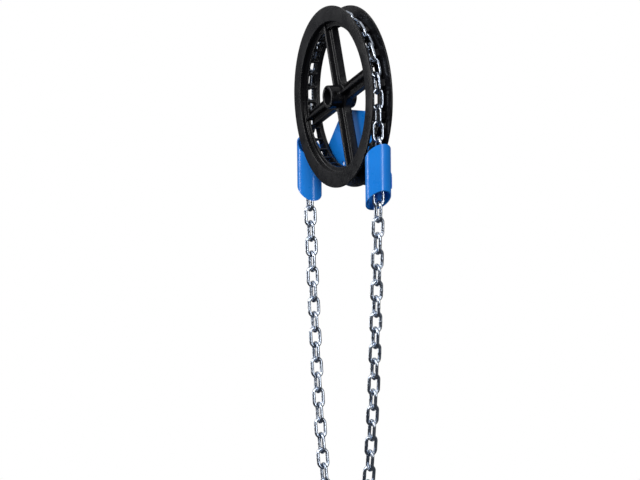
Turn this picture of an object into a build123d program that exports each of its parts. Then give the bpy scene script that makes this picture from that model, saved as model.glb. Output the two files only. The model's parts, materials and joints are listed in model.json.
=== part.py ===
from build123d import *
import math
import os

# Hand-chain drive unit, millimetres. The wheel turns about Y, its visible hub face looks to -Y,
# Z is up, and the origin is the middle of the wheel on the bore's axis.

# Chain
WIRE = 5.5                 # wire diameter
PITCH = 25.0               # from one bearing point to the next
LINK_INNER_WIDTH = 11.0    # clear width inside a link
LINK_PLAY = 0.4            # how much longer a link is inside than the pitch
POCKETS = 16               # flat links in one turn of the wheel
HANGING_LINKS = 51         # links in the loop below the tubes, odd
UPPER_LINKS = 10           # links on each side that swing from the tubes' mouths, even
BEND_LINKS = 7             # links counted as the bottom bend, odd
SPLIT_GAP = 0.6            # saw cut in the connecting link

# Wheel
RIM_WIDTH = 36.0           # over both flanges
RIM_HEIGHT = 18.0          # from the links' middle out to the flange's edge
GROOVE_PLAY = 1.5          # beside a flat link, at the pocket floor
FLANGE_EDGE = 2.6          # thickness of a flange at its outer edge
FLOOR_THICKNESS = 3.6
SEAT_GAP = 0.3             # under a flat link
SADDLE_LENGTH = 7.0        # left between windows, along the rim
WINDOW_MARGIN = 1.0        # of a window past the inside of a link, each side
RIB_WALL = 2.5             # beside a window, in the floor's middle rib
RIB_UNDER = 3.5            # under the lane, in that rib
NOTCH_PLAY = 1.25          # beside an upright link, in its lane
LUG_PLAY = 2.75            # from an upright link to a lug
LUG_LENGTH = 12.0          # along the rim
LUG_HEIGHT = 7.0
LUG_UPRIGHT = 0.6          # share of a lug's height before its face leans back
LUG_CREST = 1.5            # width left on top of a lug
BORE_RADIUS = 12.7         # for a one inch door shaft
HUB_WALL = 5.8
HUB_PROUD = 8.5            # how far the hub stands out in front of the rim
KEYWAY_WIDTH = 6.4
KEYWAY_DEPTH = 3.0
SPOKES = 4
SPOKE_TURN = 20.0          # degrees from +X to the first spoke
SPOKE_WIDTH = 26.0
SPOKE_DEPTH = 11.0         # of the lip round each window
SPOKE_LIP = 3.0            # width of that lip
SPOKE_WEB = 7.0
SPOKE_RIB = 5.0            # width of the rib down the middle
ARMPIT_RADIUS = 18.0       # between neighbouring spokes
RIB_ARMPIT_RADIUS = 14.0   # between neighbouring ribs
SET_SCREW_RADIUS = 3.0
SET_SCREW_PLACE = 7.5      # back from the hub's front face
SOCKET_ACROSS = 3.0
SOCKET_DEPTH = 2.0
SCREW_PLAY = 0.05          # round a set screw

# Guide
WHEEL_GAP = 2.0            # between the wheel and the guide
TUBE_WALL = 2.0
TUBE_LENGTH = 72.0
TUBE_CUT = 40.0            # degrees, the slope of both ends
PLATE_THICKNESS = 3.0
PLATE_BELOW_HUB = 3.5      # from the hub down to the plate's top
PLATE_TOP_HALF = 38.0
PLATE_SIDE_ANGLE = 43.5    # degrees from plumb
PLATE_BOTTOM = 140.0       # below the shaft's axis
PLATE_BEYOND_TUBE = 2.0    # past the tube's middle
FIXING_RADIUS = 4.5        # for M8 bolts
FIXING_SPACING_X = 80.0
FIXING_SPACING_Z = 50.0
FIXING_TOP = 60.0          # upper holes, below the shaft's axis
WELD_INSET = 1.5
WELD_REACH = 8.0
WELD_LENGTH = 20.0
WELD_DEPTH = 10.0          # of the inner bead, from the plate forwards
WELD_EDGE_WIDTH = 4.0      # of the outer bead, past the plate's edge
WELD_BACK = 0.8            # from the outer bead to the plate's back
EDGE = 0.8                 # small rounding on cast edges

# Worked out
LINK_TURN = 180.0 / POCKETS
CENTRE_RADIUS = PITCH / (2 * math.tan(math.radians(LINK_TURN / 2)))
VERTEX_RADIUS = PITCH / (2 * math.sin(math.radians(LINK_TURN / 2)))
LINK_HALF_WIDTH = LINK_INNER_WIDTH / 2 + WIRE
GROOVE_HALF_WIDTH = LINK_HALF_WIDTH + GROOVE_PLAY
WINDOW_WIDTH = LINK_INNER_WIDTH + 2 * WINDOW_MARGIN
RIB_WIDTH = WINDOW_WIDTH + 2 * RIB_WALL
SPOKE_RIB_DEPTH = 2 * GROOVE_HALF_WIDTH
NOTCH_WIDTH = WIRE + 2 * NOTCH_PLAY
LUG_GAP = WIRE + 2 * LUG_PLAY
HUB_RADIUS = BORE_RADIUS + HUB_WALL
PLATE_TOP = HUB_RADIUS + PLATE_BELOW_HUB
RIM_RADIUS = CENTRE_RADIUS + RIM_HEIGHT
FLOOR_RADIUS = CENTRE_RADIUS - WIRE / 2 - SEAT_GAP
RIM_INSIDE = FLOOR_RADIUS - FLOOR_THICKNESS
NOTCH_RADIUS = CENTRE_RADIUS - LINK_HALF_WIDTH - SEAT_GAP
RIB_INSIDE = NOTCH_RADIUS - RIB_UNDER
STRAND = CENTRE_RADIUS
HALF_RIM = RIM_WIDTH / 2
HUB_FRONT = -HALF_RIM - HUB_PROUD
PLATE_FRONT = HALF_RIM + WHEEL_GAP
TUBE_RADIUS = PLATE_FRONT
CUT = math.radians(TUBE_CUT)
TUBE_TOP = STRAND * math.tan(CUT) - (RIM_RADIUS + WHEEL_GAP) / math.cos(CUT)
LONG = 4 * RIM_RADIUS


def write(node, *solids):
    shape = solids[0] if len(solids) == 1 else Compound(children=list(solids))
    shape.label = node
    export_step(shape, f"parts/{node}.step")


def ring(profile):
    """A profile of (radius, place along Y) points, turned about the wheel's axis."""
    return revolve(make_face(Polyline(*profile, close=True)), axis=Axis.Y)


def band(r_in, r_out, half):
    return ring([(r_in, -half), (r_out, -half), (r_out, half), (r_in, half)])


def around(angle):
    """Turns what lies along +X to this angle, counted from +X towards +Z."""
    return Rot(0, -angle, 0)


def slab(outline, thickness):
    """An outline of (x, z) points, centred on Y."""
    face = Plane.XZ * make_face(Polyline(*outline, close=True))
    return extrude(face, amount=thickness / 2, both=True)


# ---- chain ---------------------------------------------------------------------------------

def make_link():
    """A link along Z that lies flat, with its width along Y."""
    bend = (LINK_INNER_WIDTH + WIRE) / 2
    straight = (PITCH + LINK_PLAY - LINK_INNER_WIDTH) / 2
    legs = [Pos(0, side * bend, 0) * Cylinder(WIRE / 2, 2 * straight) for side in (-1, 1)]
    section = Plane.XY * Pos(0, bend) * Circle(WIRE / 2)
    half_turn = revolve(section, axis=Axis.X, revolution_arc=180)
    top = Pos(0, 0, straight) * half_turn
    bottom = Pos(0, 0, -straight) * Rot(180, 0, 0) * half_turn
    return legs[0] + legs[1] + top + bottom


LINK_FLAT = make_link()
LINK_UPRIGHT = Rot(0, 0, 90) * LINK_FLAT


def link_at(number):
    """Even numbers lie flat and odd ones stand upright."""
    return LINK_FLAT if number % 2 == 0 else LINK_UPRIGHT


def wheel_link(number):
    """A link seated on the wheel, number 0 at +X."""
    return around(number * LINK_TURN) * Pos(CENTRE_RADIUS, 0, 0) * link_at(number)


def strand_link(side, number):
    """A link on a plumb strand, number 0 level with the shaft."""
    return Pos(side * STRAND, 0, -number * PITCH) * link_at(number)


TUBE_BOTTOM = TUBE_TOP - TUBE_LENGTH
LAST_IN_TUBE = 2 * round(-TUBE_BOTTOM / PITCH / 2)
LOOP_TOP = -(LAST_IN_TUBE + 0.5) * PITCH


def loop_places():
    """Middle (x, z) and slope in degrees of each hanging link, in balance, with its slopes evenly stepped."""
    middle = (HANGING_LINKS - 1) / 2

    def slopes(step):
        return [math.atan(step * (middle - n)) for n in range(HANGING_LINKS)]

    low, high = 0.01, 10.0
    for _ in range(80):
        step = (low + high) / 2
        span = sum(PITCH * math.cos(a) for a in slopes(step))
        low, high = (step, high) if span > 2 * STRAND else (low, step)
    x, z, places = STRAND, LOOP_TOP, []
    for a in slopes(step):
        dx, dz = -PITCH * math.cos(a), -PITCH * math.sin(a)
        places.append((x + dx / 2, z + dz / 2, math.degrees(math.atan2(dz, dx))))
        x, z = x + dx, z + dz
    return places


def loop_link(number, places):
    x, z, direction = places[number]
    return Pos(x, 0, z) * around(direction - 90) * link_at(number + 1)


def hinge_height(place):
    """Height of the middle of the wire in a hanging link's top bend."""
    x, z, direction = place
    return z + (PITCH + LINK_PLAY + WIRE) / 2 * abs(math.sin(math.radians(direction)))


def make_chain():
    over = [wheel_link(n) for n in range(POCKETS + 1)]
    flat = over[0::2] + [strand_link(side, 2) for side in (-1, 1)]
    upright = over[1::2] + [strand_link(side, n) for side in (-1, 1) for n in (1, 3)]
    write("chain_flat_links_on_wheel", *flat)
    write("chain_upright_links_on_wheel", *upright)
    for name, side in (("left", -1), ("right", 1)):
        write(f"chain_in_{name}_tube", *[strand_link(side, n) for n in range(4, LAST_IN_TUBE + 1)])

    places = loop_places()
    links = [loop_link(n, places) for n in range(HANGING_LINKS)]
    bend_start = (HANGING_LINKS - BEND_LINKS) // 2
    joiner = HANGING_LINKS - 1 - UPPER_LINKS - 2
    write("chain_upper_right", *links[:UPPER_LINKS])
    write("chain_upper_left", *links[-UPPER_LINKS:])
    write("chain_lower_right", *links[UPPER_LINKS:bend_start])
    write("chain_bottom_bend", *links[bend_start:bend_start + BEND_LINKS])
    left = [n for n in range(bend_start + BEND_LINKS, HANGING_LINKS - UPPER_LINKS) if n != joiner]
    write("chain_lower_left", *[links[n] for n in left])
    x, z, direction = places[joiner]
    leg = Pos(0, LINK_INNER_WIDTH / 2 + WIRE / 2, 0) * Box(2 * WIRE, 2 * WIRE, SPLIT_GAP)
    turned = Rot(0, 0, 90) if joiner % 2 == 0 else Rot(0, 0, 0)
    write("connecting_link", links[joiner] - Pos(x, 0, z) * around(direction - 90) * turned * leg)
    for name, number in (("upper", 0), ("lower", UPPER_LINKS)):
        print(f"chain_swing_{name} hinge height", hinge_height(places[number]))


# ---- wheel ---------------------------------------------------------------------------------

def make_flange(side):
    """side -1 is the front flange, +1 the back one."""
    profile = [
        (RIM_INSIDE, side * HALF_RIM),
        (RIM_RADIUS, side * HALF_RIM),
        (RIM_RADIUS, side * (HALF_RIM - FLANGE_EDGE)),
        (FLOOR_RADIUS, side * GROOVE_HALF_WIDTH),
        (RIM_INSIDE, side * GROOVE_HALF_WIDTH),
    ]
    face = make_face(Polyline(*profile, close=True))
    outer = [v for v in face.vertices() if abs(v.X - RIM_RADIUS) < 0.01]
    return revolve(fillet(outer, EDGE), axis=Axis.Y)


def make_floor():
    """The ring that the chain sits on: a middle rib with a lane for upright links and a window at
    each link, so that the chain shows from inside the wheel."""
    window_depth = 4 * (FLOOR_RADIUS - RIB_INSIDE)
    window = Pos(FLOOR_RADIUS, 0, 0) * Box(window_depth, WINDOW_WIDTH, PITCH - SADDLE_LENGTH)
    floor = band(RIM_INSIDE, FLOOR_RADIUS, GROOVE_HALF_WIDTH)
    floor += band(RIB_INSIDE, FLOOR_RADIUS, RIB_WIDTH / 2)
    floor -= band(NOTCH_RADIUS, VERTEX_RADIUS, NOTCH_WIDTH / 2)
    return floor - [around(n * LINK_TURN) * window for n in range(2 * POCKETS)]


def make_lug(side):
    """One driving lug at +X, from the pocket floor up the flank."""
    lean = (HALF_RIM - FLANGE_EDGE - GROOVE_HALF_WIDTH) / (RIM_RADIUS - FLOOR_RADIUS)
    flank = GROOVE_HALF_WIDTH + LUG_HEIGHT * lean
    profile = [
        (FLOOR_RADIUS, side * LUG_GAP / 2),
        (FLOOR_RADIUS + LUG_UPRIGHT * LUG_HEIGHT, side * LUG_GAP / 2),
        (FLOOR_RADIUS + LUG_HEIGHT, side * (flank - LUG_CREST)),
        (FLOOR_RADIUS + LUG_HEIGHT, side * flank),
        (FLOOR_RADIUS, side * GROOVE_HALF_WIDTH),
    ]
    lug = extrude(make_face(Polyline(*profile, close=True)), amount=LUG_LENGTH / 2, both=True)
    return lug - band(RIM_INSIDE, FLOOR_RADIUS, HALF_RIM)


def star(width, reach, armpit):
    """Crossed bars with rounded armpits, on the wheel's plane."""
    half = width / 2
    bars = Rectangle(2 * reach, width) + Rectangle(width, 2 * reach)
    inner = [v for v in bars.vertices() if abs(abs(v.X) - half) < 0.01 and abs(abs(v.Y) - half) < 0.01]
    return fillet(inner, armpit)


def make_spokes(floor):
    """Four spokes: a web with a lip round each window and a rib down the middle, out to the pocket floor."""
    outline = star(SPOKE_WIDTH, RIM_RADIUS, ARMPIT_RADIUS)
    hollow = star(SPOKE_WIDTH - 2 * SPOKE_LIP, RIM_RADIUS, ARMPIT_RADIUS + SPOKE_LIP)
    ribs = star(SPOKE_RIB, RIM_RADIUS, RIB_ARMPIT_RADIUS)
    turn = around(SPOKE_TURN)
    cross = turn * extrude(Plane.XZ * outline, amount=SPOKE_DEPTH / 2, both=True)
    keep = band(HUB_RADIUS, RIM_INSIDE, SPOKE_RIB_DEPTH)
    pocket = turn * extrude(Plane.XZ * hollow, amount=SPOKE_DEPTH, both=True)
    pocket &= band(HUB_RADIUS - 1, RIM_INSIDE - SPOKE_LIP, SPOKE_DEPTH)
    pocket -= Box(LONG, SPOKE_WEB, LONG)
    pocket -= turn * extrude(Plane.XZ * ribs, amount=SPOKE_RIB_DEPTH / 2, both=True)
    cross += turn * extrude(Plane.XZ * ribs, amount=SPOKE_RIB_DEPTH / 2, both=True)
    lane = band(NOTCH_RADIUS, VERTEX_RADIUS, NOTCH_WIDTH / 2)
    cross = (cross & keep) - pocket - floor - lane
    corner = [(0, 0), (LONG, -LONG), (LONG, LONG)]
    return [cross & (around(SPOKE_TURN + n * 360 / SPOKES) * slab(corner, LONG)) for n in range(SPOKES)]


def make_hub():
    length = HALF_RIM - HUB_FRONT
    hub = ring([
        (BORE_RADIUS, HUB_FRONT), (HUB_RADIUS - EDGE, HUB_FRONT), (HUB_RADIUS, HUB_FRONT + EDGE),
        (HUB_RADIUS, HALF_RIM - EDGE), (HUB_RADIUS - EDGE, HALF_RIM), (BORE_RADIUS, HALF_RIM),
    ])
    keyway = Pos(BORE_RADIUS, 0, 0) * Box(2 * KEYWAY_DEPTH, 3 * length, KEYWAY_WIDTH)
    hub -= around(SPOKE_TURN + 90) * keyway
    return hub - [screw_place(n) * Cylinder(SET_SCREW_RADIUS, HUB_RADIUS) for n in (0, 3)]


def screw_place(quarter):
    """Middle of a set screw's hole, with Z along it pointing outwards."""
    return around(SPOKE_TURN + 90 * quarter) * Pos(HUB_RADIUS, HUB_FRONT + SET_SCREW_PLACE, 0) * Rot(0, 90, 0)


def make_set_screw(quarter):
    length = HUB_RADIUS - BORE_RADIUS - EDGE
    screw = Pos(0, 0, -length / 2) * Cylinder(SET_SCREW_RADIUS - SCREW_PLAY, length)
    socket = extrude(RegularPolygon(SOCKET_ACROSS / 2, 6, major_radius=False), amount=-SOCKET_DEPTH)
    return screw_place(quarter) * Pos(0, 0, -EDGE / 2) * (screw - socket)


def make_wheel():
    floor = make_floor()
    write("wheel_hub", make_hub())
    for n, spoke in enumerate(make_spokes(floor)):
        write(f"wheel_spoke_{n + 1}", spoke)
    write("rim_floor", floor)
    for name, side in (("front", -1), ("back", 1)):
        write(f"rim_{name}_flange", make_flange(side))
        lug = make_lug(side)
        write(f"rim_{name}_lugs", *[around((2 * n + 1) * LINK_TURN) * lug for n in range(POCKETS)])
    write("set_screws", make_set_screw(0), make_set_screw(3))


# ---- guide ---------------------------------------------------------------------------------

def make_tube(side):
    """A tube round one strand, both ends cut on a slope, the outer side higher."""
    def slope(x, at_middle):
        return at_middle + (x - STRAND) * math.tan(CUT)

    inner, outer = STRAND - 2 * TUBE_RADIUS, STRAND + 2 * TUBE_RADIUS
    outline = [
        (side * inner, slope(inner, TUBE_TOP)), (side * outer, slope(outer, TUBE_TOP)),
        (side * outer, slope(outer, TUBE_BOTTOM)), (side * inner, slope(inner, TUBE_BOTTOM)),
    ]
    place = Pos(side * STRAND, 0, (TUBE_TOP + TUBE_BOTTOM) / 2)
    wall = Cylinder(TUBE_RADIUS, LONG) - Cylinder(TUBE_RADIUS - TUBE_WALL, LONG)
    return (place * wall) & slab(outline, LONG)


def make_plate():
    half = STRAND + PLATE_BEYOND_TUBE
    shoulder = PLATE_TOP + (half - PLATE_TOP_HALF) / math.tan(math.radians(PLATE_SIDE_ANGLE))
    outline = [
        (-PLATE_TOP_HALF, -PLATE_TOP), (PLATE_TOP_HALF, -PLATE_TOP), (half, -shoulder),
        (half, -PLATE_BOTTOM), (-half, -PLATE_BOTTOM), (-half, -shoulder),
    ]
    back = PLATE_FRONT + PLATE_THICKNESS / 2
    plate = Pos(0, back, 0) * slab(outline, PLATE_THICKNESS)
    for x in (-FIXING_SPACING_X / 2, FIXING_SPACING_X / 2):
        for z in (-FIXING_TOP, -FIXING_TOP - FIXING_SPACING_Z):
            plate -= Pos(x, back, z) * Rot(90, 0, 0) * Cylinder(FIXING_RADIUS, 2 * PLATE_THICKNESS)
    return plate


def make_welds(side):
    """Two beads between a tube and the plate: one in the inner corner, one on the plate's edge."""
    tube = Pos(side * STRAND, 0, 0) * Cylinder(TUBE_RADIUS, LONG)
    middle = -PLATE_BOTTOM + WELD_LENGTH / 2 + EDGE
    width = WELD_REACH - WELD_INSET
    inner_x = STRAND - WELD_INSET - width / 2
    inner_y = PLATE_FRONT - WELD_DEPTH / 2
    inner = Pos(side * inner_x, inner_y, middle) * Box(width, WELD_DEPTH, WELD_LENGTH)
    outer_x = STRAND + PLATE_BEYOND_TUBE + WELD_EDGE_WIDTH / 2
    outer_depth = PLATE_THICKNESS - WELD_BACK + WELD_EDGE_WIDTH
    outer_y = PLATE_FRONT + PLATE_THICKNESS - WELD_BACK - outer_depth / 2
    outer = Pos(side * outer_x, outer_y, middle) * Box(WELD_EDGE_WIDTH, outer_depth, WELD_LENGTH)
    return [inner - tube, outer - tube]


def make_guide():
    write("guide_plate", make_plate())
    for name, side in (("left", -1), ("right", 1)):
        write(f"guide_tube_{name}", make_tube(side))
        write(f"tube_welds_{name}", *make_welds(side))


os.makedirs("parts", exist_ok=True)
make_wheel()
make_guide()
make_chain()
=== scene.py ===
import json
import math

import bmesh
import bpy
import numpy as np
from mathutils import Matrix, Vector


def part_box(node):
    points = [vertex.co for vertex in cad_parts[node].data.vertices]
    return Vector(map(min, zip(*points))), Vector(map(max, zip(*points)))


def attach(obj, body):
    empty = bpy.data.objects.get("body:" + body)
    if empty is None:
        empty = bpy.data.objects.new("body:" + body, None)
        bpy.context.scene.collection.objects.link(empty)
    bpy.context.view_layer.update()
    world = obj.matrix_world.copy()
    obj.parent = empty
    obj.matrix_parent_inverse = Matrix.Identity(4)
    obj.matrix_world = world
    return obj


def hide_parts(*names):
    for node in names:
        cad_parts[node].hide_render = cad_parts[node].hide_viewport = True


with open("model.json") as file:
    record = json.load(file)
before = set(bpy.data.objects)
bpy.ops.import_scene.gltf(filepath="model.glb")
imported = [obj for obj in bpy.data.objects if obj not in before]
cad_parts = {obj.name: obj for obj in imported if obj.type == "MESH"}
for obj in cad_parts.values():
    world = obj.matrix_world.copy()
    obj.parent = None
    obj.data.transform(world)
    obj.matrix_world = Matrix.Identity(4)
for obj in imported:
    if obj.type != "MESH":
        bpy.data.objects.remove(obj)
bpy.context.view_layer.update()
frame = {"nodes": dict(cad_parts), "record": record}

MM = 0.001

# Wheel casting
CAST_VOXEL = 0.9 * MM
CAST_SMOOTHING = 4
FLANGE_ROUND = 1.0 * MM
FLANGE_STEPS = 256

# Chain link, taken from the CAD solids' own sizes
WIRE = 5.5 * MM
BEND_SIDES = 20
WIRE_SIDES = 20
WELD_HALF = 2.4 * MM
WELD_PROUD = 0.22 * MM
WELD_TOLERANCE = 0.002 * MM

# Welds between the tubes and the plate
BEAD_PITCH = 1.6 * MM
BEAD_RADIUS = 1.5 * MM
BEAD_SIDES = 16
BEAD_RINGS = 120


# ---- small helpers --------------------------------------------------------------------------

def add_object(name, mesh, material, body, finish_slot, *nodes):
    """A new piece that rides on a body and stands for these CAD nodes."""
    piece = bpy.data.objects.new(name, mesh)
    bpy.context.scene.collection.objects.link(piece)
    mesh.materials.clear()
    mesh.materials.append(material)
    mesh.polygons.foreach_set("use_smooth", [True] * len(mesh.polygons))
    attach(piece, body)
    if nodes:
        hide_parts(*nodes)
    return piece


def cad_arrays(node):
    """Vertices and triangles of a CAD node."""
    mesh = frame["nodes"][node].data
    points = np.empty(len(mesh.vertices) * 3)
    mesh.vertices.foreach_get("co", points)
    return points.reshape(-1, 3), [tuple(p.vertices) for p in mesh.polygons]


def mesh_from(name, points, faces):
    mesh = bpy.data.meshes.new(name)
    mesh.from_pydata([tuple(p) for p in points], [], faces)
    mesh.update()
    return mesh


def joined(name, parts):
    """One mesh from several (points, faces)."""
    points, faces, start = [], [], 0
    for own, loops in parts:
        points.extend(own)
        faces.extend(tuple(start + i for i in loop) for loop in loops)
        start += len(own)
    return mesh_from(name, points, faces)


def smooth_by_angle(piece, degrees):
    """Keeps flat faces flat and curved ones smooth."""
    piece.data.polygons.foreach_set("use_smooth", [True] * len(piece.data.polygons))
    modifier = piece.modifiers.new("crisp edges", "EDGE_SPLIT")
    modifier.split_angle = math.radians(degrees)


# ---- shader building ------------------------------------------------------------------------

class Graph:
    """A little help to place and join shader nodes."""

    def __init__(self, tree):
        self.tree = tree

    def node(self, kind, values=None, **settings):
        made = self.tree.nodes.new(kind)
        for name, value in settings.items():
            setattr(made, name, value)
        for name, value in (values or {}).items():
            if isinstance(value, bpy.types.NodeSocket):
                self.tree.links.new(value, made.inputs[name])
            else:
                made.inputs[name].default_value = value
        return made

    def noise(self, place, scale, detail=4.0, roughness=0.55):
        values = {"Vector": place, "Scale": scale, "Detail": detail, "Roughness": roughness}
        return self.node("ShaderNodeTexNoise", values).outputs["Fac"]

    def math(self, operation, first, second):
        made = self.node("ShaderNodeMath", {0: first, 1: second}, operation=operation)
        return made.outputs[0]

    def spread(self, value, low, high, to_low, to_high):
        """Takes low..high to to_low..to_high, and stays inside."""
        values = {"Value": value, "From Min": low, "From Max": high, "To Min": to_low, "To Max": to_high}
        return self.node("ShaderNodeMapRange", values).outputs["Result"]

    def mix(self, amount, first, second):
        made = self.node("ShaderNodeMix", data_type="RGBA")
        for socket, value in ((made.inputs[0], amount), (made.inputs[6], first), (made.inputs[7], second)):
            if isinstance(value, bpy.types.NodeSocket):
                self.tree.links.new(value, socket)
            else:
                socket.default_value = value
        return made.outputs[2]


def new_group(name, inputs, outputs):
    """A shader node group with float inputs (name, default) and outputs (name, kind)."""
    tree = bpy.data.node_groups.new(name, "ShaderNodeTree")
    for label, default in inputs:
        socket = tree.interface.new_socket(label, in_out="INPUT", socket_type="NodeSocketFloat")
        socket.default_value = default
    for label, kind in outputs:
        tree.interface.new_socket(label, in_out="OUTPUT", socket_type=kind)
    graph = Graph(tree)
    return graph, graph.node("NodeGroupInput"), graph.node("NodeGroupOutput")


def surface_unevenness():
    """Height of thick paint: broad sag from the casting or rolling, and fine orange peel."""
    inputs = [("Broad Size", 90.0), ("Fine Size", 1400.0), ("Fine Share", 0.35)]
    graph, given, made = new_group("paint unevenness", inputs, [("Height", "NodeSocketFloat")])
    place = graph.node("ShaderNodeTexCoord").outputs["Object"]
    broad = graph.noise(place, given.outputs["Broad Size"], 2.0)
    fine = graph.noise(place, given.outputs["Fine Size"], 1.0)
    share = graph.math("MULTIPLY", fine, given.outputs["Fine Share"])
    graph.tree.links.new(graph.math("ADD", broad, share), made.inputs["Height"])
    return graph.tree


def edge_and_crease():
    """Masks for sharp outer edges and for creases. The paints and platings lay worn paint, dust, painted highlight
    and painted shade through them.
    """
    inputs = [("Edge Start", 0.53), ("Edge End", 0.6), ("Break Up Size", 220.0)]
    outputs = [("Edge Mask", "NodeSocketFloat"), ("Crease Mask", "NodeSocketFloat")]
    graph, given, made = new_group("edge and crease masks", inputs, outputs)
    pointy = graph.node("ShaderNodeNewGeometry").outputs["Pointiness"]
    place = graph.node("ShaderNodeTexCoord").outputs["Object"]
    broken = graph.noise(place, given.outputs["Break Up Size"], 6.0, 0.7)
    sharp_edges = graph.spread(pointy, given.outputs["Edge Start"], given.outputs["Edge End"], 0.0, 1.0)
    graph.tree.links.new(graph.math("MULTIPLY", sharp_edges, broken), made.inputs["Edge Mask"])
    crease = graph.spread(pointy, 0.49, 0.42, 0.0, 1.0)
    graph.tree.links.new(graph.math("MULTIPLY", crease, broken), made.inputs["Crease Mask"])
    return graph.tree


UNEVENNESS = surface_unevenness()
EDGES = edge_and_crease()


def paint(name, colour, shade, wear_and_highlight_colour, dust_and_shade_colour, roughness, coat, bump, wear_and_highlight_amount, shine):
    """Gloss paint that varies a little in tone, with one colour on sharp edges and one in creases: worn paint and
    dust on the black, painted highlight and painted shade on the blue.
    """
    material = bpy.data.materials.new(name)
    material.use_nodes = True
    graph = Graph(material.node_tree)
    shader = material.node_tree.nodes["Principled BSDF"]
    place = graph.node("ShaderNodeTexCoord").outputs["Object"]
    patches = graph.spread(graph.noise(place, 14.0), 0.35, 0.65, 0.0, 1.0)
    base = graph.mix(patches, colour, shade)
    edges = graph.node("ShaderNodeGroup", node_tree=EDGES)
    # Sharp edges take the edge colour: worn paint on the black, a painted highlight on the blue.
    base = graph.mix(graph.math("MULTIPLY", edges.outputs["Edge Mask"], wear_and_highlight_amount), base, wear_and_highlight_colour)
    # Creases take the crease colour: dust on the black, painted shade on the blue.
    base = graph.mix(graph.math("MULTIPLY", edges.outputs["Crease Mask"], 0.35), base, dust_and_shade_colour)
    smears = graph.noise(place, 45.0, 6.0, 0.65)
    graph.tree.links.new(base, shader.inputs["Base Color"])
    rough = graph.spread(smears, 0.3, 0.7, roughness - 0.06, roughness + 0.09)
    graph.tree.links.new(rough, shader.inputs["Roughness"])
    shader.inputs["Specular IOR Level"].default_value = shine
    shader.inputs["Coat Weight"].default_value = coat
    shader.inputs["Coat Roughness"].default_value = 0.12
    skin = graph.node("ShaderNodeGroup", node_tree=UNEVENNESS)
    values = {"Height": skin.outputs["Height"], "Strength": bump, "Distance": 0.4 * MM}
    bumped = graph.node("ShaderNodeBump", values)
    graph.tree.links.new(bumped.outputs["Normal"], shader.inputs["Normal"])
    return material


def plated_steel(name, bright, dull, roughness, crease_shade):
    """Bright plating with a blue cast, duller where it has been handled, and painted shade darkening the creases
    where links rub.
    """
    material = bpy.data.materials.new(name)
    material.use_nodes = True
    graph = Graph(material.node_tree)
    shader = material.node_tree.nodes["Principled BSDF"]
    place = graph.node("ShaderNodeTexCoord").outputs["Object"]
    clouds = graph.spread(graph.noise(place, 60.0, 5.0, 0.6), 0.35, 0.68, 0.0, 1.0)
    base = graph.mix(clouds, bright, dull)
    edges = graph.node("ShaderNodeGroup", {"Break Up Size": 400.0}, node_tree=EDGES)
    # Painted shade: the dark crease colour is laid into creases and the inner bends of the links.
    base = graph.mix(graph.math("MULTIPLY", edges.outputs["Crease Mask"], 0.8), base, crease_shade)
    graph.tree.links.new(base, shader.inputs["Base Color"])
    rubbed = graph.noise(place, 320.0, 6.0, 0.7)
    rough = graph.spread(rubbed, 0.3, 0.7, roughness - 0.07, roughness + 0.12)
    graph.tree.links.new(rough, shader.inputs["Roughness"])
    shader.inputs["Metallic"].default_value = 1.0
    drawn = graph.noise(place, 900.0, 3.0)
    bumped = graph.node("ShaderNodeBump", {"Height": drawn, "Strength": 0.25, "Distance": 0.08 * MM})
    graph.tree.links.new(bumped.outputs["Normal"], shader.inputs["Normal"])
    return material


BLACK_PAINT = paint("black gloss paint", (0.004, 0.004, 0.005, 1), (0.008, 0.008, 0.010, 1),
                    (0.022, 0.022, 0.024, 1), (0.012, 0.012, 0.012, 1), 0.27, 0.1, 0.3, 0.3, 0.24)
# Blue paint: the lighter blue is a painted highlight on sharp edges, the dark navy is painted shade in creases.
BLUE_PAINT = paint("blue gloss paint", (0.003, 0.25, 0.90, 1), (0.002, 0.21, 0.80, 1),
                   (0.05, 0.34, 0.90, 1), (0.01, 0.11, 0.35, 1), 0.3, 0.35, 0.06, 0.3, 0.4)
# The last colour of each plating is painted shade for its creases.
ZINC = plated_steel("bright zinc plate", (0.74, 0.80, 0.90, 1), (0.42, 0.49, 0.60, 1), 0.19,
                    (0.05, 0.06, 0.08, 1))
BLACK_OXIDE = plated_steel("black oxide steel", (0.05, 0.05, 0.055, 1), (0.03, 0.03, 0.032, 1), 0.38,
                           (0.01, 0.01, 0.01, 1))


# ---- wheel ----------------------------------------------------------------------------------

def cast_mesh(name, nodes):
    """CAD solids melted together, with the soft corners of a sand casting."""
    mesh = joined(name, [cad_arrays(node) for node in nodes])
    rough = bpy.data.objects.new(name + " blank", mesh)
    bpy.context.scene.collection.objects.link(rough)
    remesh = rough.modifiers.new("melt", "REMESH")
    remesh.mode = "VOXEL"
    remesh.voxel_size = CAST_VOXEL
    soften = rough.modifiers.new("soften", "SMOOTH")
    soften.factor = 0.5
    soften.iterations = CAST_SMOOTHING
    depsgraph = bpy.context.evaluated_depsgraph_get()
    made = bpy.data.meshes.new_from_object(rough.evaluated_get(depsgraph))
    made.name = name
    bpy.data.objects.remove(rough)
    return made


def rounded(corners, radius, steps=5):
    """A closed outline with each corner turned into an arc of this radius, or less on a short side."""
    out = []
    for before, corner, after in zip(corners[-1:] + corners[:-1], corners, corners[1:] + corners[:1]):
        corner, back, on = Vector(corner), Vector(before) - Vector(corner), Vector(after) - Vector(corner)
        half = back.angle(on) / 2
        reach = min(radius / math.tan(half), 0.45 * back.length, 0.45 * on.length)
        start, end = corner + back.normalized() * reach, corner + on.normalized() * reach
        for n in range(steps + 1):
            t = n / steps
            out.append((1 - t) ** 2 * start + 2 * t * (1 - t) * corner + t ** 2 * end)
    return out


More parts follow.
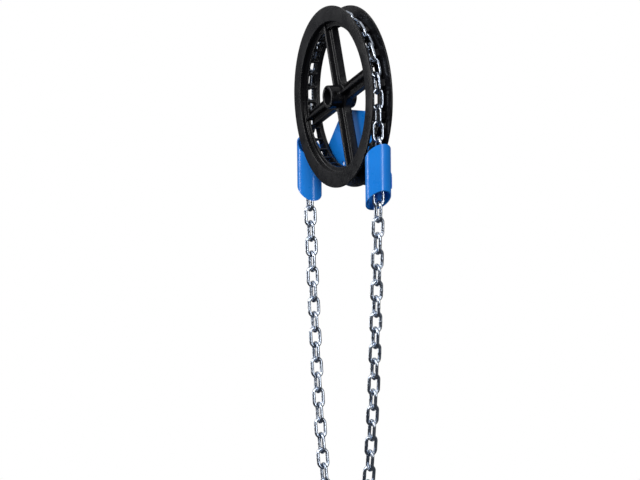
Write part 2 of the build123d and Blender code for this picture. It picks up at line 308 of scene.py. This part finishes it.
def lathe(name, outline):
    """A closed (radius, y) outline turned about the wheel's axis."""
    count, points, faces = len(outline), [], []
    for turn in range(FLANGE_STEPS):
        angle = 2 * math.pi * turn / FLANGE_STEPS
        points += [(p[0] * math.cos(angle), p[1], p[0] * math.sin(angle)) for p in outline]
        here, there = turn * count, (turn + 1) % FLANGE_STEPS * count
        faces += [(here + n, here + (n + 1) % count, there + (n + 1) % count, there + n) for n in range(count)]
    mesh = mesh_from(name, points, faces)
    fix = bmesh.new()
    fix.from_mesh(mesh)
    bmesh.ops.recalc_face_normals(fix, faces=fix.faces)
    fix.to_mesh(mesh)
    fix.free()
    return mesh


def flange_outline(node):
    """The CAD flange's own corners, read from one cut through it."""
    points, _ = cad_arrays(node)
    radius = np.hypot(points[:, 0], points[:, 2])
    inner, outer = radius.min(), radius.max()
    low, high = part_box(node)
    outside, inside = (low[1], high[1]) if low[1] < 0 and high[1] < 0 else (high[1], low[1])
    near_edge = points[radius > outer - 0.1 * MM]
    edge = near_edge[:, 1].max() if outside < 0 else near_edge[:, 1].min()
    lip = edge + math.copysign(0.8 * MM, -outside)
    floor = radius[np.abs(points[:, 1] - inside) < 0.01 * MM].max()
    return [(inner, outside), (outer, outside), (outer, lip), (floor, inside), (inner, inside)]


def make_wheel():
    centre = cast_mesh("wheel centre casting", ["wheel_hub"] + [f"wheel_spoke_{n}" for n in (1, 2, 3, 4)])
    add_object("wheel_centre_casting", centre, BLACK_PAINT, "wheel", "black_paint",
               "wheel_hub", "wheel_spoke_1", "wheel_spoke_2", "wheel_spoke_3", "wheel_spoke_4")
    ring_nodes = ["rim_floor", "rim_front_lugs", "rim_back_lugs"]
    ring = cast_mesh("pocket ring casting", ring_nodes)
    add_object("pocket_ring_casting", ring, BLACK_PAINT, "wheel", "black_paint", *ring_nodes)
    for side in ("front", "back"):
        node = f"rim_{side}_flange"
        outline = rounded(flange_outline(node), FLANGE_ROUND)
        add_object(f"rim_{side}_casting", lathe(node, outline), BLACK_PAINT, "wheel", "black_paint", node)


# ---- chain ----------------------------------------------------------------------------------

def islands(node):
    """The separate solids of a CAD node, each as an array of points. Corners that share a place count as one."""
    points, faces = cad_arrays(node)
    _, first_at, same = np.unique(np.round(points / WELD_TOLERANCE), axis=0, return_index=True, return_inverse=True)
    points, same = points[first_at], same.ravel()
    faces = [tuple(same[list(face)]) for face in faces]
    leader = list(range(len(points)))

    def find(n):
        while leader[n] != n:
            leader[n] = leader[leader[n]]
            n = leader[n]
        return n

    for face in faces:
        first = find(face[0])
        for n in face[1:]:
            leader[find(n)] = first
    groups = {}
    for n in range(len(points)):
        groups.setdefault(find(n), []).append(n)
    return [points[group] for group in groups.values()]


def link_place(points):
    """Middle, direction, width direction and sizes of one CAD link."""
    middle = (points.max(0) + points.min(0)) / 2
    across_y = points[:, 1].max() - points[:, 1].min()
    flat = points[:, [0, 2]] - points[:, [0, 2]].mean(0)
    _, axes = np.linalg.eigh(flat.T @ flat)
    along = Vector((axes[0, 1], 0, axes[1, 1])).normalized()
    beside = Vector((-along.z, 0, along.x))
    lying = across_y > 2 * WIRE
    reach = points @ np.array(along)
    middle = along * ((reach.max() + reach.min()) / 2)
    sides = points @ np.array(beside)
    middle += beside * ((sides.max() + sides.min()) / 2)
    length = reach.max() - reach.min()
    width = across_y if lying else sides.max() - sides.min()
    return middle, along, Vector((0, 1, 0)) if lying else beside, length, width


def link_mesh(place, number):
    """A welded link: round wire, round ends, and the butt weld's slight swelling on one leg."""
    middle, along, wide, length, width = place
    bend = (width - WIRE) / 2
    straight = (length - width) / 2
    centre_line = []
    for end, start in ((1, 0), (-1, math.pi)):
        for n in range(BEND_SIDES + 1):
            angle = start + math.pi * n / BEND_SIDES
            centre_line.append((bend * math.cos(angle), end * straight + bend * math.sin(angle)))
        leg = -end * bend
        for n in range(1, 12):
            centre_line.append((leg, end * straight * (1 - 2 * n / 12)))
    weld_leg = -1 if number % 2 else 1
    normal = along.cross(wide).normalized()
    points, count = [], len(centre_line)
    for n, (x, z) in enumerate(centre_line):
        before, after = centre_line[n - 1], centre_line[(n + 1) % count]
        run = Vector((after[0] - before[0], after[1] - before[1])).normalized()
        out = wide * run.y - along * run.x
        radius = WIRE / 2
        if x * weld_leg > 0.9 * bend and abs(z) < 2 * WELD_HALF:
            radius += WELD_PROUD * math.exp(-(z / WELD_HALF) ** 2 * 3)
        at = middle + wide * x + along * z
        for s in range(WIRE_SIDES):
            angle = 2 * math.pi * s / WIRE_SIDES
            points.append(at + (out * math.cos(angle) + normal * math.sin(angle)) * radius)
    faces = []
    for n in range(count):
        here, there = n * WIRE_SIDES, (n + 1) % count * WIRE_SIDES
        for s in range(WIRE_SIDES):
            on = (s + 1) % WIRE_SIDES
            faces.append((here + s, there + s, there + on, here + on))
    return points, faces


def outward(mesh):
    fix = bmesh.new()
    fix.from_mesh(mesh)
    bmesh.ops.recalc_face_normals(fix, faces=fix.faces)
    fix.to_mesh(mesh)
    fix.free()
    return mesh


def make_chain():
    bodies = frame["record"]["behaviour"]["bodies"]
    for body, nodes in bodies.items():
        for node in [n for n in nodes if n.startswith("chain_")]:
            links = [link_mesh(link_place(points), n) for n, points in enumerate(islands(node))]
            add_object(node + "_links", outward(joined(node, links)), ZINC, body, "zinc_plate", node)


# ---- guide ----------------------------------------------------------------------------------

def make_weld_bead(low, high):
    """A ripple-faced bead along Z between a tube and the plate."""
    x, y = (low.x + high.x) / 2, (low.y + high.y) / 2
    points, faces = [], []
    for n in range(BEAD_RINGS + 1):
        t = n / BEAD_RINGS
        z = low.z + (high.z - low.z) * t
        ripple = abs(math.sin(math.pi * z / BEAD_PITCH))
        taper = min(1.0, 6 * t + 0.15, 6 * (1 - t) + 0.15)
        radius = BEAD_RADIUS * taper * (0.86 + 0.14 * ripple)
        for s in range(BEAD_SIDES):
            angle = 2 * math.pi * s / BEAD_SIDES
            points.append((x + 1.5 * radius * math.cos(angle), y + 0.7 * radius * math.sin(angle), z))
    for n in range(BEAD_RINGS):
        for s in range(BEAD_SIDES):
            on = (s + 1) % BEAD_SIDES
            here, there = n * BEAD_SIDES, (n + 1) * BEAD_SIDES
            faces.append((here + s, here + on, there + on, there + s))
    faces.append(tuple(range(BEAD_SIDES)))
    faces.append(tuple(BEAD_RINGS * BEAD_SIDES + s for s in range(BEAD_SIDES)))
    return points, faces


def make_guide():
    for side in ("left", "right"):
        node = f"tube_welds_{side}"
        beads = []
        for points in islands(node):
            low, high = Vector(points.min(0)), Vector(points.max(0))
            beads.append(make_weld_bead(low, high))
        add_object(f"weld_beads_{side}", outward(joined(node, beads)), BLUE_PAINT, "guide", "blue_paint", node)


def finish_cad_nodes():
    """CAD nodes that show keep their shape, with broken edges and a real finish."""
    finishes = {
        "guide_plate": (BLUE_PAINT, 0.5 * MM), "guide_tube_left": (BLUE_PAINT, 0.4 * MM),
        "guide_tube_right": (BLUE_PAINT, 0.4 * MM), "set_screws": (BLACK_OXIDE, 0.15 * MM),
        "connecting_link": (ZINC, 0.1 * MM),
    }
    for node, (material, break_edge) in finishes.items():
        piece = frame["nodes"][node]
        for slot in piece.material_slots:
            slot.material = material
        bevel = piece.modifiers.new("broken edges", "BEVEL")
        bevel.width = break_edge
        bevel.segments = 3
        bevel.limit_method = "ANGLE"
        bevel.angle_limit = math.radians(40)
        bevel.harden_normals = False
        smooth_by_angle(piece, 35)


# ---- studio ---------------------------------------------------------------------------------

def make_camera():
    """A long lens from the front right, a little above the shaft."""
    azimuth, elevation, roll = (math.radians(a) for a in (64.9, 5.48, -0.59))
    distance, lens = 4.0, 141.1
    right_of_view, above_view = -0.0375, -0.2283
    level = math.cos(elevation)
    forward = Vector((-math.sin(azimuth) * level, math.cos(azimuth) * level, -math.sin(elevation)))
    right = Vector((math.cos(azimuth), math.sin(azimuth), 0))
    up = right.cross(forward)
    aim = right * right_of_view + up * above_view
    data = bpy.data.cameras.new("camera")
    camera = bpy.data.objects.new("camera", data)
    bpy.context.scene.collection.objects.link(camera)
    turn = Matrix((right, up, -forward)).transposed().to_4x4()
    place = Matrix.Translation(aim - forward * distance)
    camera.matrix_world = place @ turn @ Matrix.Rotation(roll, 4, "Z")
    data.sensor_width = 36.0
    data.lens = lens
    data.clip_end = 50.0
    bpy.context.scene.camera = camera


def make_light(name, place, aim, size, power, colour=(1, 1, 1)):
    data = bpy.data.lights.new(name, "AREA")
    data.shape, data.size, data.size_y = "RECTANGLE", size[0], size[1]
    data.energy, data.color = power, colour
    light = bpy.data.objects.new(name, data)
    bpy.context.scene.collection.objects.link(light)
    light.location = place
    light.rotation_euler = (Vector(aim) - Vector(place)).to_track_quat("-Z", "Y").to_euler()


def make_studio():
    """A white backdrop that is seen but lights little, with dark sides for gloss and plating to mirror."""
    world = bpy.data.worlds.new("studio")
    world.use_nodes = True
    graph = Graph(world.node_tree)
    output = world.node_tree.nodes["World Output"]
    seen = graph.node("ShaderNodeBackground", {"Color": (1, 1, 1, 1), "Strength": 1.0})
    direction = graph.node("ShaderNodeTexCoord").outputs["Generated"]
    height = graph.node("ShaderNodeSeparateXYZ", {"Vector": direction}).outputs["Z"]
    panels = graph.spread(graph.noise(direction, 2.2, 1.0), 0.42, 0.58, 0.0, 1.0)
    overhead = graph.spread(height, -0.2, 0.9, 0.06, 1.0)
    sky = graph.math("MULTIPLY", overhead, panels)
    tone = graph.mix(sky, (0.03, 0.035, 0.045, 1), (1, 1, 1, 1))
    mirrored = graph.node("ShaderNodeBackground", {"Color": tone, "Strength": 0.8})
    camera_ray = graph.node("ShaderNodeLightPath").outputs["Is Camera Ray"]
    both = graph.node("ShaderNodeMixShader", {0: camera_ray, 1: mirrored.outputs[0], 2: seen.outputs[0]})
    graph.tree.links.new(both.outputs[0], output.inputs["Surface"])
    bpy.context.scene.world = world
    bpy.context.scene.view_settings.view_transform = "Standard"
    make_light("key", (1.2, -2.2, 1.6), (0, 0, -0.1), (1.6, 1.6), 60)
    make_light("right strip", (2.6, 0.6, 0.4), (0, 0, -0.2), (0.5, 2.4), 30)
    make_light("left strip", (-1.6, -1.8, 0.3), (0, 0, -0.2), (0.5, 2.4), 22)


make_camera()
make_wheel()
make_chain()
make_guide()
finish_cad_nodes()
make_studio()
